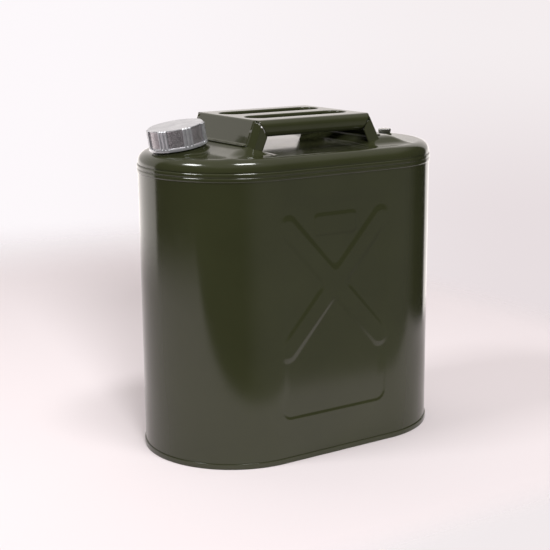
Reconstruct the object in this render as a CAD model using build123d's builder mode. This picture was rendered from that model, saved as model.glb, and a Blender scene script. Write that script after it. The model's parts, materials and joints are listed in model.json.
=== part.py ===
from build123d import *
import os
from math import atan2, cos, degrees, hypot, radians, sin

# Steel jerry can, 25 litre: obround pressed body, tilted filler with a screw cap,
# air screw, and one wide pressed carrying handle.
# Frame: origin at the middle of the floor under the can, +X along the long side away
# from the filler, +Y to the back, +Z up. Millimetres.

os.makedirs("parts", exist_ok=True)

# ---- driving dimensions ----
LENGTH = 375.0            # wrap, along X
DEPTH = 219.0             # wrap, along Y
SHEET = 1.0               # body sheet
HANDLE_SHEET = 1.4
TOP_FLAT_Z = 355.0        # general level of the top
SHOULDER_R = 13.5         # from the wall over to the top
FEATURE_X = -6.5          # pressings and handle sit this far towards the filler

SHEET_FOOT_Z = 2.0        # the wrap and the pan end here, inside the bottom rim
BOTTOM_RIM_H = 6.5
BOTTOM_RIM_OUT = 1.3      # how far the rim stands out from the wrap
BOTTOM_RIM_EDGE_R = 1.0
BOTTOM_PAN_Z = 9.0        # inside face of the pan
BOTTOM_PAN_EDGE_R = 2.5
PAN_RAISE = 2.0           # its middle is pressed up by this
PAN_RAISE_INSET = 45.0    # and stays this far inside the wrap
TOP_RIM_Z = (330.6, 340.0)
BEAD_OUT = 0.9
RIM_BAND_T = 0.3          # of the band that carries the two beads
RIM_BEAD_GAP = 0.3
WRAP_TOP_Z = 335.3        # where wrap and top meet behind the top rim
SEAM_WIDTH = 8.0
SEAM_OUT = 1.0
SEAM_END_GAP = 0.3        # to each rim
SEAM_EDGE_R = 0.6

PANEL_X = (-73.0, 73.0)   # shallow panel on the front, from FEATURE_X
PANEL_Z = (52.5, 308.0)
PANEL_DEPTH = 0.8
PANEL_CORNER_R = 12.0
CROSS_Z = 205.0
CROSS_REACH = (65.0, 71.5)    # from its centre to the middle of an arm's round end
CROSS_WIDTH = 25.0
CROSS_HEIGHT = 1.9
CROSS_EDGE_R = 0.9
PLATE_SIZE = (58.0, 25.0)     # plain pressed plate above the cross
PLATE_Z = 275.0
PLATE_HEIGHT = 1.2
PLATE_CORNER_R = 5.0

SEAT_TOP_Z = 364.6
SEAT_HALF_Y = (66.0, 84.0)    # at the top, at the foot
SEAT_CORNER_R = (5.0, 22.0)
LEFT_SEAT_X = ((-102.5, -89.0), (-131.0, -73.0))    # at the top, at the foot
RIGHT_SEAT_X = ((77.0, 107.0), (62.0, 124.0))

NECK_TILT = 9.5               # degrees, out over the end of the can
NECK_AT = (-147.5, 363.0)     # x and z of the middle of the cap's rim
NECK_BORE_R = 22.0
NECK_R = 25.5
THREAD_R = 27.0
THREAD_RING_H = (3.5, 7.5, 11.5)
NECK_LIP_H = 17.6             # above the cap's rim
NECK_LIP_EDGE_R = 0.8
NECK_BOTTOM_H = -17.0
COLLAR_R = 31.5
COLLAR_TOP_H = -2.2
COLLAR_EDGE_R = 2.5
COLLAR_DEPTH = 16.0           # of the block it is cut from: the top's surface ends it
CAP_R = 33.8
CAP_PANEL_R = 31.8
CAP_H = 24.0
CAP_BORE_R = 27.5
CAP_TOP_T = 2.4
CAP_TOP_BEVEL = 1.2
CAP_RIM_H = 3.2               # plain ring below the recessed panels
CAP_RIBS = 7
RIB_HALF_ANGLE = 10.5
RIB_START = -96.0             # where the first rib stands, in degrees from +X
DISC_T = 1.2
DISC_GAP = 0.02               # under the cap's top
SEAL_SIDE_GAP = 0.3           # from the disc and the gasket to the cap's bore
GASKET_GAP = 0.05

VENT_X = 147.5
VENT_BUSH_R = 9.0
VENT_BUSH_TOP_Z = 358.2
VENT_BUSH_EDGE_R = 1.0
VENT_BUSH_TAIL_R = 6.0        # below the top, through its hole
VENT_BUSH_TAIL = 8.0
VENT_SHANK_R = 3.0
VENT_SHANK = 12.0
VENT_CLEARANCE = 0.06
VENT_HEAD_R = 8.0
VENT_HEAD_H = 4.6
VENT_HEAD_BEVEL = 0.7
VENT_NOTCHES = 16
VENT_NOTCH_R = 0.9
VENT_WASHER_R = 7.2
VENT_WASHER_T = 1.2
VENT_GAP = 0.03               # over and under the washer

HANDLE_TOP_Z = 392.8
HANDLE_HALF_X = 78.0
HANDLE_HALF_Y = 72.0
HANDLE_ROLL_R = 8.0
HANDLE_ROLL_H = 19.0          # the rolled bars curl in again at the bottom
HANDLE_CORNER_X = 4.5         # each end's corners slant by this much of X
LEFT_FOOT_X = 89.2            # from FEATURE_X: each end leans out to here at its seat
RIGHT_FOOT_X = 92.8
SLOT_SIZE = (136.0, 34.0)
SLOT_Y = 29.0
SLOT_LIP = 4.5
FOOT_LENGTH = 5.5
SPOT_WELD_R = 1.8
SPOT_WELD_H = 0.4
SPOT_WELDS = 5                # in each foot
SPOT_WELD_PITCH = 24.0
ROLL_HALF_X = (77.2, 66.6)    # at the top, at the bottom: the ends slant
ROLL_GAP = 0.9                # slit between a roll's end and the flange beside it
KITE_TIP = (75.4, 355.0)      # the flange's lowest corner: from FEATURE_X, and z


def obround(out, z):
    """The can's plan, this far outside the wrap's outer face."""
    with BuildSketch(Plane.XY.offset(z)) as outline:
        SlotOverall(LENGTH + 2 * out, DEPTH + 2 * out)
    return outline.sketch


def obround_ring(out, inner, z):
    with BuildSketch(Plane.XY.offset(z)) as ring:
        SlotOverall(LENGTH + 2 * out, DEPTH + 2 * out)
        SlotOverall(LENGTH + 2 * inner, DEPTH + 2 * inner, mode=Mode.SUBTRACT)
    return ring.sketch


def finish(part, name):
    part.label = name
    export_step(part, f"parts/{name}.step")


# ---- body ----
FRONT_Y = -DEPTH / 2


def front_plane(depth):
    """A plane facing the front, this far behind the wrap's outer face."""
    return Plane(origin=(0, FRONT_Y + depth, 0), x_dir=(1, 0, 0), z_dir=(0, -1, 0))


def cross_outline(depth, width):
    """Two crossed arms with round ends."""
    reach = 2 * hypot(*CROSS_REACH)
    lean = degrees(atan2(CROSS_REACH[1], CROSS_REACH[0]))
    with BuildSketch(front_plane(depth)) as cross:
        with Locations((FEATURE_X, CROSS_Z)):
            SlotCenterToCenter(reach, width, rotation=lean)
            SlotCenterToCenter(reach, width, rotation=-lean)
    return cross.sketch


def panel_outline(depth):
    width = PANEL_X[1] - PANEL_X[0]
    height = PANEL_Z[1] - PANEL_Z[0]
    with BuildSketch(front_plane(depth)) as panel:
        with Locations((FEATURE_X, (PANEL_Z[0] + PANEL_Z[1]) / 2)):
            RectangleRounded(width, height, PANEL_CORNER_R)
    return panel.sketch


def plate_outline(depth, inset):
    with BuildSketch(front_plane(depth)) as plate:
        with Locations((FEATURE_X, PLATE_Z)):
            RectangleRounded(PLATE_SIZE[0] - 2 * inset, PLATE_SIZE[1] - 2 * inset,
                             PLATE_CORNER_R - inset)
    return plate.sketch


with BuildPart() as body_wrap:
    extrude(obround_ring(0, -SHEET, SHEET_FOOT_Z), amount=WRAP_TOP_Z - SHEET_FOOT_Z)
    extrude(panel_outline(SHEET), amount=-PANEL_DEPTH)
    extrude(panel_outline(0), amount=-PANEL_DEPTH, mode=Mode.SUBTRACT)
    extrude(cross_outline(PANEL_DEPTH, CROSS_WIDTH), amount=CROSS_HEIGHT)
    extrude(cross_outline(PANEL_DEPTH + SHEET, CROSS_WIDTH - 2 * SHEET),
            amount=CROSS_HEIGHT, mode=Mode.SUBTRACT)
    extrude(plate_outline(PANEL_DEPTH, 0), amount=PLATE_HEIGHT)
    extrude(plate_outline(PANEL_DEPTH + SHEET, SHEET), amount=PLATE_HEIGHT, mode=Mode.SUBTRACT)
    cross_face = body_wrap.faces().filter_by(Axis.Y).sort_by(Axis.Y)[0]
    fillet(cross_face.edges(), CROSS_EDGE_R)
finish(body_wrap.part, "body_wrap")

with BuildPart() as side_seam:
    with BuildSketch(Plane.XZ.offset(-DEPTH / 2)):
        with Locations((0, (BOTTOM_RIM_H + TOP_RIM_Z[0]) / 2)):
            Rectangle(SEAM_WIDTH, TOP_RIM_Z[0] - BOTTOM_RIM_H - 2 * SEAM_END_GAP)
    extrude(amount=-SEAM_OUT)
    fillet(side_seam.faces().sort_by(Axis.Y)[-1].edges().filter_by(Axis.Z), SEAM_EDGE_R)
finish(side_seam.part, "side_seam")

with BuildPart() as bottom_pan:
    extrude(obround(-SHEET, SHEET_FOOT_Z), amount=BOTTOM_PAN_Z - SHEET_FOOT_Z)
    fillet(bottom_pan.edges().group_by(Axis.Z)[-1], BOTTOM_PAN_EDGE_R)
    extrude(obround(-2 * SHEET, SHEET_FOOT_Z), amount=BOTTOM_PAN_Z - SHEET - SHEET_FOOT_Z,
            mode=Mode.SUBTRACT)
    extrude(obround(-PAN_RAISE_INSET, BOTTOM_PAN_Z), amount=PAN_RAISE)
    extrude(obround(-PAN_RAISE_INSET - SHEET, BOTTOM_PAN_Z - SHEET), amount=PAN_RAISE,
            mode=Mode.SUBTRACT)
finish(bottom_pan.part, "bottom_pan")

with BuildPart() as bottom_rim:
    extrude(obround_ring(BOTTOM_RIM_OUT, -3 * SHEET, 0), amount=BOTTOM_RIM_H)
    fillet(bottom_rim.edges().group_by(Axis.Z)[0], BOTTOM_RIM_EDGE_R)
    extrude(obround_ring(0, -2 * SHEET, SHEET_FOOT_Z), amount=BOTTOM_RIM_H, mode=Mode.SUBTRACT)
finish(bottom_rim.part, "bottom_rim")


def bead_profile(x):
    """Section of the rolled rim: two round beads on a thin band, at the front wall."""
    low, high = TOP_RIM_Z
    mid = (low + high) / 2
    band = RIM_BAND_T
    below = mid - RIM_BEAD_GAP / 2
    above = mid + RIM_BEAD_GAP / 2
    at_wall = Plane(origin=(x, FRONT_Y, 0), x_dir=(0, -1, 0), z_dir=(-1, 0, 0))
    with BuildSketch(at_wall) as profile:
        with BuildLine():
            Line((0, low), (band, low))
            ThreePointArc((band, low), (BEAD_OUT, (low + mid) / 2), (band, below))
            Line((band, below), (band, above))
            ThreePointArc((band, above), (BEAD_OUT, (mid + high) / 2), (band, high))
            Line((band, high), (0, high))
            Line((0, high), (0, low))
        make_face()
    return profile.sketch


HALF_STRAIGHT = (LENGTH - DEPTH) / 2     # of each long side
with BuildPart() as top_rim:
    extrude(bead_profile(0), amount=HALF_STRAIGHT, both=True)
    revolve(bead_profile(HALF_STRAIGHT), axis=Axis((HALF_STRAIGHT, 0, 0), (0, 0, 1)),
            revolution_arc=180)
    mirror(about=Plane.YZ)
    mirror(about=Plane.XZ)
finish(top_rim.part, "top_rim")

# ---- top ----


def seat_block(x_spans, inset):
    """A seat for one end of the handle: a low mound with a flat top."""
    below = 3.0                          # it starts this far under the top's flat
    for_top, for_foot = x_spans
    half_top, half_foot = SEAT_HALF_Y
    spread = 1 + below / (SEAT_TOP_Z - TOP_FLAT_Z)
    low = for_top[0] - spread * (for_top[0] - for_foot[0])
    high = for_top[1] + spread * (for_foot[1] - for_top[1])
    deep = half_top + spread * (half_foot - half_top)
    with BuildSketch(Plane.XY.offset(TOP_FLAT_Z - below - inset)) as foot:
        with Locations(((low + high) / 2, 0)):
            RectangleRounded(high - low - 2 * inset, 2 * deep - 2 * inset, SEAT_CORNER_R[1])
    with BuildSketch(Plane.XY.offset(SEAT_TOP_Z - inset)) as flat:
        with Locations(((for_top[0] + for_top[1]) / 2, 0)):
            RectangleRounded(for_top[1] - for_top[0] - 2 * inset,
                             2 * half_top - 2 * inset, SEAT_CORNER_R[0])
    loft(Sketch() + [foot.sketch, flat.sketch])


def top_block(inset):
    """The top as a solid block, its faces this far inside the sheet's outer face."""
    with BuildPart() as block:
        extrude(obround(-inset, WRAP_TOP_Z), amount=TOP_FLAT_Z - inset - WRAP_TOP_Z)
        fillet(block.edges().group_by(Axis.Z)[-1], SHOULDER_R - inset)
        seat_block(LEFT_SEAT_X, inset)
        seat_block(RIGHT_SEAT_X, inset)
    return block.part


TILT = radians(NECK_TILT)
NECK_AXIS = (-sin(TILT), 0, cos(TILT))
NECK_LINE = Axis((NECK_AT[0], 0, NECK_AT[1]), NECK_AXIS)


def neck_plane(height=0.0):
    """Across the neck, this far above the cap's rim."""
    x = NECK_AT[0] + NECK_AXIS[0] * height
    z = NECK_AT[1] + NECK_AXIS[2] * height
    return Plane(origin=(x, 0, z), x_dir=(cos(TILT), 0, sin(TILT)), z_dir=NECK_AXIS)


top_outside = top_block(0)
top_inside = top_block(SHEET)

with BuildPart() as top_pan:
    add(top_outside)
    add(top_inside, mode=Mode.SUBTRACT)
    with BuildSketch(neck_plane(-30)):
        Circle(NECK_R)
    extrude(amount=60, mode=Mode.SUBTRACT)
    with BuildSketch(Plane.XY.offset(TOP_FLAT_Z - 5)):
        with Locations((VENT_X, 0)):
            Circle(VENT_BUSH_TAIL_R)
    extrude(amount=10, mode=Mode.SUBTRACT)
finish(top_pan.part, "top_pan")

# ---- filler ----
with BuildPart() as filler_neck:
    with BuildSketch(neck_plane(NECK_BOTTOM_H)):
        Circle(NECK_R)
    extrude(amount=NECK_LIP_H - NECK_BOTTOM_H)
    with Locations(*[neck_plane(height) for height in THREAD_RING_H]):
        Torus(NECK_R, THREAD_R - NECK_R)
    with BuildSketch(neck_plane(NECK_BOTTOM_H)):
        Circle(NECK_BORE_R)
    extrude(amount=NECK_LIP_H - NECK_BOTTOM_H, mode=Mode.SUBTRACT)
    fillet(filler_neck.faces().sort_by(NECK_LINE)[-1].edges(), NECK_LIP_EDGE_R)
finish(filler_neck.part, "filler_neck")

with BuildPart() as neck_collar:
    with BuildSketch(neck_plane(COLLAR_TOP_H)):
        Circle(COLLAR_R)
    extrude(amount=-COLLAR_DEPTH, taper=-4)
    fillet(neck_collar.faces().sort_by(NECK_LINE)[-1].edges(), COLLAR_EDGE_R)
    with BuildSketch(neck_plane(COLLAR_TOP_H)):
        Circle(NECK_R)
    extrude(amount=-COLLAR_DEPTH - 5, mode=Mode.SUBTRACT)
    add(top_outside, mode=Mode.SUBTRACT)
finish(neck_collar.part, "neck_collar")

with BuildPart() as cap_shell:
    with BuildSketch(neck_plane(0)):
        Circle(CAP_R)
    extrude(amount=CAP_H)
    chamfer(cap_shell.faces().sort_by(NECK_LINE)[-1].edges(), CAP_TOP_BEVEL)
    with BuildSketch(neck_plane(CAP_RIM_H)):
        Circle(CAP_R + 2)
        Circle(CAP_PANEL_R, mode=Mode.SUBTRACT)
        with PolarLocations(CAP_PANEL_R, CAP_RIBS, start_angle=RIB_START):
            Rectangle(8, 2 * CAP_R * sin(radians(RIB_HALF_ANGLE)), mode=Mode.SUBTRACT)
    extrude(amount=CAP_H - CAP_RIM_H, mode=Mode.SUBTRACT)
    with BuildSketch(neck_plane(0)):
        Circle(CAP_BORE_R)
    extrude(amount=CAP_H - CAP_TOP_T, mode=Mode.SUBTRACT)
finish(cap_shell.part, "cap_shell")

with BuildPart() as cap_disc:
    with BuildSketch(neck_plane(CAP_H - CAP_TOP_T - DISC_T)):
        Circle(CAP_BORE_R - SEAL_SIDE_GAP)
    extrude(amount=DISC_T - DISC_GAP)
finish(cap_disc.part, "cap_disc")

with BuildPart() as cap_gasket:
    gasket_low = NECK_LIP_H + GASKET_GAP
    with BuildSketch(neck_plane(gasket_low)):
        Circle(CAP_BORE_R - SEAL_SIDE_GAP)
        Circle(NECK_BORE_R - 2, mode=Mode.SUBTRACT)
    extrude(amount=CAP_H - CAP_TOP_T - DISC_T - gasket_low)
finish(cap_gasket.part, "cap_gasket")

# ---- air screw ----
with BuildPart() as vent_bush:
    with BuildSketch(Plane.XY.offset(TOP_FLAT_Z)):
        with Locations((VENT_X, 0)):
            Circle(VENT_BUSH_R)
    extrude(amount=VENT_BUSH_TOP_Z - TOP_FLAT_Z)
    fillet(vent_bush.faces().sort_by(Axis.Z)[-1].edges(), VENT_BUSH_EDGE_R)
    with BuildSketch(Plane.XY.offset(TOP_FLAT_Z)):
        with Locations((VENT_X, 0)):
            Circle(VENT_BUSH_TAIL_R)
    extrude(amount=-VENT_BUSH_TAIL)
    with BuildSketch(Plane.XY.offset(TOP_FLAT_Z - VENT_BUSH_TAIL)):
        with Locations((VENT_X, 0)):
            Circle(VENT_SHANK_R + VENT_CLEARANCE)
    extrude(amount=2 * VENT_SHANK, mode=Mode.SUBTRACT)
finish(vent_bush.part, "vent_bush")

VENT_HEAD_Z = VENT_BUSH_TOP_Z + VENT_WASHER_T + VENT_GAP
with BuildPart() as vent_screw:
    with BuildSketch(Plane.XY.offset(VENT_HEAD_Z)):
        with Locations((VENT_X, 0)):
            Circle(VENT_HEAD_R)
    extrude(amount=VENT_HEAD_H)
    chamfer(vent_screw.faces().sort_by(Axis.Z)[-1].edges(), VENT_HEAD_BEVEL)
    with BuildSketch(Plane.XY.offset(VENT_HEAD_Z)):
        with Locations((VENT_X, 0)):
            with PolarLocations(VENT_HEAD_R + VENT_NOTCH_R / 3, VENT_NOTCHES):
                Circle(VENT_NOTCH_R)
    extrude(amount=VENT_HEAD_H, mode=Mode.SUBTRACT)
    with BuildSketch(Plane.XY.offset(VENT_HEAD_Z)):
        with Locations((VENT_X, 0)):
            Circle(VENT_SHANK_R)
    extrude(amount=-VENT_SHANK)
finish(vent_screw.part, "vent_screw")

with BuildPart() as vent_washer:
    with BuildSketch(Plane.XY.offset(VENT_BUSH_TOP_Z + VENT_GAP)):
        with Locations((VENT_X, 0)):
            Circle(VENT_WASHER_R)
            Circle(VENT_SHANK_R + 0.1, mode=Mode.SUBTRACT)
    extrude(amount=VENT_WASHER_T - VENT_GAP)
finish(vent_washer.part, "vent_washer")

# ---- handle ----
LEAN_RISE = HANDLE_TOP_Z - SEAT_TOP_Z
ROLL_LOW_Z = HANDLE_TOP_Z - HANDLE_ROLL_H
FLAT_HALF_Y = HANDLE_HALF_Y - HANDLE_ROLL_R
WALL_START_Z = 350.0


def bar_section(inset):
    """Section across the two rolled bars, as one flat ring about the handle's top."""
    with BuildSketch(Plane.YZ) as section:
        with Locations((0, (HANDLE_TOP_Z + ROLL_LOW_Z) / 2)):
            RectangleRounded(2 * (HANDLE_HALF_Y - inset), HANDLE_ROLL_H - 2 * inset,
                             HANDLE_ROLL_R - inset)
    return section.sketch


def foot_x(side):
    return RIGHT_FOOT_X if side > 0 else LEFT_FOOT_X


def end_plan(side, inset):
    """Plan of one end at WALL_START_Z: slanting corners, open towards the middle."""
    lean_run = foot_x(side) - HANDLE_HALF_X
    out = foot_x(side) + lean_run * (SEAT_TOP_Z - WALL_START_Z) / LEAN_RISE
    inner = 40.0 - 10 * inset
    corner = out - HANDLE_CORNER_X
    half = HANDLE_HALF_Y
    points = [
        (inner, -half), (corner, -half), (out, -FLAT_HALF_Y),
        (out, FLAT_HALF_Y), (corner, half), (inner, half),
    ]
    with BuildSketch(Plane.XY.offset(WALL_START_Z)) as plan:
        with BuildLine():
            Polyline([(FEATURE_X + side * x, y) for x, y in points], close=True)
        make_face()
        if inset:
            offset(amount=-inset, kind=Kind.INTERSECTION)
    return plan.sketch


def slanted_end(z):
    """Where a roll ends at this height, from FEATURE_X."""
    top, low = ROLL_HALF_X
    return low + (top - low) * (z - ROLL_LOW_Z) / HANDLE_ROLL_H


def between_flanges(side, y):
    """The space inside one end's two flanges, in side view, at this y."""
    over = HANDLE_TOP_Z + 5
    points = [
        (0, WALL_START_Z - 5), (0, over), (slanted_end(over) + ROLL_GAP, over),
        (slanted_end(ROLL_LOW_Z) + ROLL_GAP, ROLL_LOW_Z), KITE_TIP,
        (KITE_TIP[0], WALL_START_Z - 5),
    ]
    with BuildSketch(Plane.XZ.offset(-y)) as space:
        with BuildLine():
            Polyline([(FEATURE_X + side * x, z) for x, z in points], close=True)
        make_face()
    return space.sketch


def handle_end(side):
    lean_run = foot_x(side) - HANDLE_HALF_X        # how far the end leans out over its height
    lean = (-side * lean_run, 0, LEAN_RISE)
    rise = HANDLE_TOP_Z - WALL_START_Z
    along = rise * hypot(lean_run, LEAN_RISE) / LEAN_RISE
    with BuildPart() as end:
        extrude(end_plan(side, 0), amount=along, dir=lean)
        extrude(end_plan(side, HANDLE_SHEET), amount=along + 3, dir=lean, mode=Mode.SUBTRACT)
        extrude(between_flanges(side, -FLAT_HALF_Y), amount=20, mode=Mode.SUBTRACT)
        extrude(between_flanges(side, FLAT_HALF_Y), amount=-20, mode=Mode.SUBTRACT)
        with BuildSketch(Plane.YZ) as under_round_corners:
            with Locations((0, (HANDLE_TOP_Z + WALL_START_Z - 5) / 2)):
                Rectangle(2 * HANDLE_HALF_Y, HANDLE_TOP_Z - WALL_START_Z + 5)
            fillet(under_round_corners.vertices().group_by(Axis.Y)[-1], HANDLE_ROLL_R)
        extrude(amount=200, both=True, mode=Mode.INTERSECT)
    return end.part


left_end = handle_end(-1)
right_end = handle_end(1)

with BuildPart() as rolls:
    extrude(bar_section(0), amount=2 * HANDLE_HALF_X, both=True)
    extrude(bar_section(HANDLE_SHEET), amount=2 * HANDLE_HALF_X, both=True, mode=Mode.SUBTRACT)
    Box(4 * HANDLE_HALF_X, 2 * FLAT_HALF_Y, 4 * HANDLE_TOP_Z, mode=Mode.SUBTRACT)
    with BuildSketch(Plane.XZ):
        with BuildLine():
            high = HANDLE_TOP_Z + 1
            low = ROLL_LOW_Z - 1
            Polyline(
                (FEATURE_X - slanted_end(low), low), (FEATURE_X - slanted_end(high), high),
                (FEATURE_X + slanted_end(high), high), (FEATURE_X + slanted_end(low), low),
                close=True,
            )
        make_face()
    extrude(amount=2 * HANDLE_HALF_Y, both=True, mode=Mode.INTERSECT)

with BuildPart() as handle:
    with BuildSketch(Plane.XY.offset(HANDLE_TOP_Z - HANDLE_SHEET)):
        with Locations((FEATURE_X, 0)):
            Rectangle(2 * HANDLE_HALF_X, 2 * FLAT_HALF_Y)
    extrude(amount=HANDLE_SHEET)
    add(rolls.part)
    add(left_end)
    add(right_end)
    slot_places = [(FEATURE_X, SLOT_Y), (FEATURE_X, -SLOT_Y)]
    with BuildSketch(Plane.XY.offset(HANDLE_TOP_Z)):
        with Locations(slot_places):
            SlotOverall(SLOT_SIZE[0] + 2 * HANDLE_SHEET, SLOT_SIZE[1] + 2 * HANDLE_SHEET)
    extrude(amount=-SLOT_LIP)
    with BuildSketch(Plane.XY.offset(HANDLE_TOP_Z + 1)):
        with Locations(slot_places):
            SlotOverall(*SLOT_SIZE)
    extrude(amount=-SLOT_LIP - 5, mode=Mode.SUBTRACT)
    with BuildSketch(Plane.XY.offset(SEAT_TOP_Z)):
        for side in (-1, 1):
            with Locations((FEATURE_X + side * (foot_x(side) + FOOT_LENGTH / 2 - 1), 0)):
                Rectangle(FOOT_LENGTH + 2, 2 * FLAT_HALF_Y)
    extrude(amount=HANDLE_SHEET)
    add(top_outside, mode=Mode.SUBTRACT)
finish(handle.part, "handle")

with BuildPart() as handle_spot_welds:
    with BuildSketch(Plane.XY.offset(SEAT_TOP_Z + HANDLE_SHEET)):
        for side in (-1, 1):
            with Locations((FEATURE_X + side * (foot_x(side) + FOOT_LENGTH / 2 + 0.3), 0)):
                with GridLocations(0, SPOT_WELD_PITCH, 1, SPOT_WELDS):
                    Circle(SPOT_WELD_R)
    extrude(amount=SPOT_WELD_H)
finish(handle_spot_welds.part, "handle_spot_welds")
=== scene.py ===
import json
import math

import bmesh
import bpy
from mathutils import Matrix, Vector


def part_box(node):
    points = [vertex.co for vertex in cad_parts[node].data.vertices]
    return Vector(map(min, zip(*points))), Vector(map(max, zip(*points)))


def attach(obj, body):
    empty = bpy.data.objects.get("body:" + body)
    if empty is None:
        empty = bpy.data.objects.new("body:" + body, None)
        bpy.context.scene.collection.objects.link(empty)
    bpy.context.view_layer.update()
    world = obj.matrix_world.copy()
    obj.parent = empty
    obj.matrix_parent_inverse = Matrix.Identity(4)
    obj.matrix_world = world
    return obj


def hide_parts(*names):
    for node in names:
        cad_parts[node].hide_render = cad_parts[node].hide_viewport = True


# A steel jerry can around its CAD frame. Lengths in the small tables are millimetres (MM),
# everything that goes into a mesh is metres, in the frame's own axes: +X away from the
# filler, +Y to the back, +Z up.

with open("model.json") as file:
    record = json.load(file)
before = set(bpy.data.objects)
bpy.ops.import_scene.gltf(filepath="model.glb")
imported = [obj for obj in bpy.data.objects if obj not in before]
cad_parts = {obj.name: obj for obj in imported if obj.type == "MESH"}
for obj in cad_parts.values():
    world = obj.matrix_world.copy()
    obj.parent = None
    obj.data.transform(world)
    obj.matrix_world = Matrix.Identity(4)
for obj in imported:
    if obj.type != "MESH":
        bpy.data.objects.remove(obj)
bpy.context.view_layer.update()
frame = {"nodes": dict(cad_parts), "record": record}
joints = {joint["name"]: joint for joint in frame["record"]["behaviour"]["joints"]}

MM = 0.001
TAU = 2 * math.pi

wrap_low, wrap_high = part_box("body_wrap")
_, lid_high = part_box("top_pan")
rim_low, rim_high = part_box("top_rim")
_, foot_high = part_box("bottom_rim")
_, handle_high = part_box("handle")

END_R = wrap_high.y / MM                    # of the round ends
HALF = wrap_high.x / MM - END_R             # half of each straight side
SHEET = 1.0
FEATURE_X = -6.5                            # pressings and handle sit this far to the filler's side
WRAP_TOP = wrap_high.z / MM
WRAP_FOOT = wrap_low.z / MM
SEAT_TOP = lid_high.z / MM
LID_FLAT = 355.0
SHOULDER_R = 13.5


# ---- mesh helpers ----

def smoothstep(low, high, value):
    t = min(max((value - low) / (high - low), 0.0), 1.0)
    return t * t * (3 - 2 * t)


def soft_max(a, b, soft):
    """The larger of a and b, rounded where they cross."""
    gap = max(soft - abs(a - b), 0.0) / soft
    return max(a, b) + gap * gap * soft / 4


def soft_min(a, b, soft):
    return -soft_max(-a, -b, soft)


def mesh_piece(name, points, faces, material, body, nodes, sharp=35):
    """A smooth-shaded mesh from points in millimetres, riding on a body in place of CAD nodes."""
    mesh = bpy.data.meshes.new(name)
    mesh.from_pydata([(x * MM, y * MM, z * MM) for x, y, z in points], [], faces)
    return finish_piece(name, mesh, material, body, nodes, sharp)


def finish_piece(name, mesh, material, body, nodes, sharp):
    """Cleans a mesh and makes it a piece. Edges turned by more than sharp degrees stay sharp."""
    work = bmesh.new()
    work.from_mesh(mesh)
    bmesh.ops.remove_doubles(work, verts=work.verts, dist=0.00001)
    bmesh.ops.dissolve_degenerate(work, dist=0.000001, edges=work.edges)
    bmesh.ops.recalc_face_normals(work, faces=work.faces)
    work.to_mesh(mesh)
    work.free()
    mesh.shade_smooth()
    mesh.set_sharp_from_angle(angle=math.radians(sharp))
    mesh.materials.append(material)
    piece = bpy.data.objects.new(name, mesh)
    bpy.context.scene.collection.objects.link(piece)
    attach(piece, body)
    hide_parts(*nodes)
    return piece


def grid_faces(rows, columns, close_rows=False, close_columns=False):
    faces = []
    for i in range(rows if close_rows else rows - 1):
        for j in range(columns if close_columns else columns - 1):
            below, beside = (i + 1) % rows, (j + 1) % columns
            faces.append((i * columns + j, i * columns + beside,
                          below * columns + beside, below * columns + j))
    return faces


def thicken(piece, thickness):
    """Gives a sheet its thickness, on the inner side."""
    solid = piece.modifiers.new("sheet", "SOLIDIFY")
    solid.thickness = thickness * MM
    solid.offset = -1.0


# ---- the can's plan ----

def outline(front_steps, end_steps, back_steps):
    """Stations round the plan, anticlockwise from the front's left: (centre x, direction)."""
    stations = []
    for i in range(front_steps):
        stations.append((-HALF + 2 * HALF * i / front_steps, -math.pi / 2))
    for i in range(end_steps):
        stations.append((HALF, -math.pi / 2 + math.pi * i / end_steps))
    for i in range(back_steps):
        stations.append((HALF - 2 * HALF * i / back_steps, math.pi / 2))
    for i in range(end_steps):
        stations.append((-HALF, math.pi / 2 + math.pi * i / end_steps))
    return stations


def on_outline(station, out):
    """Plan point of a station, this far outside the wall's outer face."""
    centre, turn = station
    reach = END_R + out
    return centre + reach * math.cos(turn), reach * math.sin(turn)


def sweep_round(name, profile, stations, material, nodes):
    """A closed section (out, z) carried round the can's plan."""
    points = []
    for out, z in profile:
        for station in stations:
            x, y = on_outline(station, out)
            points.append((x, y, z))
    faces = grid_faces(len(profile), len(stations), close_rows=True, close_columns=True)
    return mesh_piece(name, points, faces, material, "can", nodes)


def arc(centre, radius, start, stop, steps):
    """Points of a circular arc, angles in degrees."""
    turns = [math.radians(start + (stop - start) * i / steps) for i in range(steps + 1)]
    return [(centre[0] + radius * math.cos(t), centre[1] + radius * math.sin(t)) for t in turns]


# ---- materials ----

HOLLOW = "hollow"         # point attribute: 1 in the cap's panels, 0 elsewhere


def node_material(name):
    """A new node material, its tree and its main shader."""
    material = bpy.data.materials.new(name)
    material.use_nodes = True
    tree = material.node_tree
    shader = tree.nodes["Principled BSDF"]
    return material, tree, shader


def noise(tree, scale, detail=3.0, roughness=0.5):
    """Noise in the object's own metres: scale is in features per metre."""
    place = tree.nodes.new("ShaderNodeTexCoord")
    texture = tree.nodes.new("ShaderNodeTexNoise")
    texture.inputs["Scale"].default_value = scale
    texture.inputs["Detail"].default_value = detail
    texture.inputs["Roughness"].default_value = roughness
    tree.links.new(place.outputs["Object"], texture.inputs["Vector"])
    return texture


def ramp(tree, source, stops):
    """A colour ramp on a texture's factor: stops are (place, colour)."""
    node = tree.nodes.new("ShaderNodeValToRGB")
    elements = node.color_ramp.elements
    while len(elements) < len(stops):
        elements.new(0.5)
    for element, (place, colour) in zip(elements, stops):
        element.position = place
        element.color = (*colour, 1.0) if len(colour) == 3 else (colour[0],) * 3 + (1.0,)
    tree.links.new(source, node.inputs["Fac"])
    return node


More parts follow.
